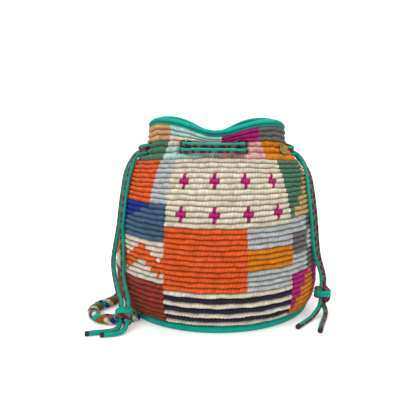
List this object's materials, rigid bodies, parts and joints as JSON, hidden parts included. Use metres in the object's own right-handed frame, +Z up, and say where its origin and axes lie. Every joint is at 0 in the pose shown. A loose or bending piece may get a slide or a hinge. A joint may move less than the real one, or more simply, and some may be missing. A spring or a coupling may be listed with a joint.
{
  "type": "crossbody bag",
  "caption": "Round crocheted bucket bag in patchwork stripes and steps, with paired drawcords through eyelets, knotted cord ends and a braided strap.",
  "frame": {"origin": "bottom centre of the round base, on the surface the bag stands on", "axes": "+Z up, -Y towards the front of the bag with the brass disc to its right, +X towards the right side seen from the front"},
  "size_m": [0.3074, 0.3592, 0.2248],
  "materials": {
    "crochet_cotton": "matte",
    "teal_edging": "matte",
    "teal_piping": "matte",
    "drawcord": "matte",
    "bound_tip": "matte",
    "braided_strap": "matte",
    "brass": "satin",
    "sewing_thread": "matte"
  },
  "bodies": {
    "root": {"bag_body": "crochet_cotton", "rim_edging": "teal_edging", "base_piping": "teal_piping", "drawcord_left_threaded": "drawcord", "drawcord_right_threaded": "drawcord", "left_cord_1": "drawcord", "left_cord_2": "drawcord", "left_knot": "drawcord", "left_tail_1": "drawcord", "left_tail_2": "drawcord", "left_tip_1": "bound_tip", "left_tip_2": "bound_tip", "right_cord_1": "drawcord", "right_cord_2": "drawcord", "right_knot": "drawcord", "right_tail_1": "drawcord", "right_tail_2": "drawcord", "right_tip_1": "bound_tip", "right_tip_2": "bound_tip", "strap": "braided_strap", "strap_inner_knot": "braided_strap", "brass_disc": "brass", "disc_stitch": "sewing_thread"}
  },
  "joints": []
}
